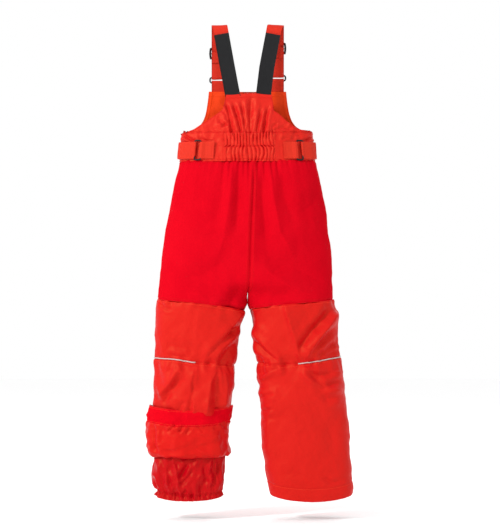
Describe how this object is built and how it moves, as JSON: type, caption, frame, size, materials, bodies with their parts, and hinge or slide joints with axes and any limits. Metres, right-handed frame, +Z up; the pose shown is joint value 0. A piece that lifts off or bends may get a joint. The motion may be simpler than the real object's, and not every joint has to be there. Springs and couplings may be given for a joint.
{
  "type": "ski pants",
  "caption": "Child's insulated ski bib hanging from its shoulder straps, with waist adjusters, front zipper and one cuff turned up over its snow gaiter.",
  "frame": {"origin": "midway between the two shoulder straps, at the underside of their folds, where a rail or the wearer's shoulders hold them", "axes": "+Z up, +Y to the wearer's front, -X to the wearer's left"},
  "size_m": [0.4108, 0.116, 0.9488],
  "materials": {
    "bib_shell": "smooth woven nylon, slight sheen",
    "upper_shell": "smooth woven nylon, slight sheen",
    "seat_shell": "dense matte oxford weave",
    "leg_shell": "smooth woven nylon, slight sheen",
    "lining": "thin shiny taffeta",
    "gaiter": "thin glossy taffeta",
    "hem_facing": "matte oxford weave",
    "webbing": "flat woven webbing",
    "elastic": "ribbed knitted elastic",
    "hem_elastic": "knitted elastic",
    "reflective_piping": "glass-bead reflective cloth",
    "buckle_plastic": "fine moulded texture",
    "ring_metal": "black enamel, semi-gloss",
    "zipper_tape": "ribbed woven tape",
    "zipper_teeth": "moulded, semi-gloss",
    "zipper_metal": "dark gunmetal enamel",
    "zipper_pull_rubber": "soft-touch moulding"
  },
  "bodies": {
    "root": {"front_bib": "bib_shell", "front_waist": "bib_shell", "back_bib": "upper_shell", "shirred_waist": "upper_shell", "waist_yoke_left": "upper_shell", "waist_yoke_right": "upper_shell", "seat_back_left": "seat_shell", "seat_back_right": "seat_shell", "seat_front_left": "seat_shell", "seat_front_right": "seat_shell", "hip_band": "seat_shell", "shoulder_strap_left": "webbing", "shoulder_strap_right": "webbing", "strap_tab_left": "webbing", "strap_tab_right": "webbing", "waist_anchor_left": "webbing", "waist_anchor_right": "webbing", "waist_strap_left": "webbing", "waist_strap_right": "webbing", "back_elastic_left": "elastic", "back_elastic_right": "elastic", "strap_ring_left": "ring_metal", "strap_ring_right": "ring_metal", "waist_ring_left": "buckle_plastic", "waist_ring_right": "buckle_plastic", "zipper_tapes": "zipper_tape", "zipper_teeth_left": "zipper_teeth", "zipper_teeth_right": "zipper_teeth", "zipper_stops": "zipper_teeth"},
    "zipper_slider": {"zipper_slider": "zipper_metal"},
    "zipper_pull": {"zipper_pull": "zipper_pull_rubber"},
    "left_tri_glide": {"tri_glide_left": "buckle_plastic", "strap_end_left": "webbing"},
    "left_waist_flap": {"waist_flap_left": "webbing"},
    "right_tri_glide": {"tri_glide_right": "buckle_plastic", "strap_end_right": "webbing"},
    "right_waist_flap": {"waist_flap_right": "webbing"},
    "legs": {"thigh_back_left": "seat_shell", "thigh_back_right": "seat_shell", "thigh_front_left": "seat_shell", "thigh_front_right": "seat_shell", "knee_band_left": "leg_shell", "knee_band_right": "leg_shell", "knee_piping_left": "reflective_piping", "knee_piping_right": "reflective_piping"},
    "left_shin": {"shin_back_left": "leg_shell", "shin_front_left": "leg_shell", "gaiter_left": "gaiter", "gaiter_elastic_left": "hem_elastic"},
    "right_shin": {"shin_back_right": "leg_shell", "shin_front_right": "leg_shell", "gaiter_right": "gaiter", "gaiter_elastic_right": "hem_elastic", "hem_facing_right": "hem_facing"},
    "left_cuff": {"cuff_left": "lining", "cuff_facing_left": "hem_facing"}
  },
  "joints": [
    {"name": "hip_fold", "type": "hinge", "parent": "root", "child": "legs", "pos_m": [0, -0.006, -0.412], "axis": [1, 0, 0], "range_deg": [0, 75], "deforming": ["hip_band"]},
    {"name": "left_knee", "type": "hinge", "parent": "legs", "child": "left_shin", "pos_m": [0, 0.006, -0.672], "axis": [-1, 0, 0], "range_deg": [0, 80], "deforming": ["knee_band_left", "knee_piping_left"]},
    {"name": "right_knee", "type": "hinge", "parent": "legs", "child": "right_shin", "pos_m": [0, 0.006, -0.672], "axis": [-1, 0, 0], "range_deg": [0, 80], "deforming": ["knee_band_right", "knee_piping_right"]},
    {"name": "left_cuff_roll", "type": "slide", "parent": "left_shin", "child": "left_cuff", "axis": [0, 0, -1], "range_m": [0, 0.09]},
    {"name": "zipper_slide", "type": "slide", "parent": "root", "child": "zipper_slider", "axis": [0, 0.1742, -0.9847], "range_m": [0, 0.148]},
    {"name": "zipper_pull_swing", "type": "hinge", "parent": "zipper_slider", "child": "zipper_pull", "pos_m": [0, 0.02982, -0.14864], "axis": [1, 0, 0], "range_deg": [0, 150]},
    {"name": "left_tri_glide_slide", "type": "slide", "parent": "root", "child": "left_tri_glide", "axis": [0, 0.1525, -0.9883], "range_m": [-0.026, 0.024], "deforming": ["strap_end_left"]},
    {"name": "right_tri_glide_slide", "type": "slide", "parent": "root", "child": "right_tri_glide", "axis": [0, 0.1592, -0.9872], "range_m": [-0.018, 0.032], "deforming": ["strap_end_right"]},
    {"name": "left_waist_flap_peel", "type": "hinge", "parent": "root", "child": "left_waist_flap", "pos_m": [-0.105, -0.0363, -0.25], "axis": [0, 0, 1], "range_deg": [0, 120]},
    {"name": "right_waist_flap_peel", "type": "hinge", "parent": "root", "child": "right_waist_flap", "pos_m": [0.11, -0.0344, -0.25], "axis": [0, 0, -1], "range_deg": [0, 120]}
  ]
}
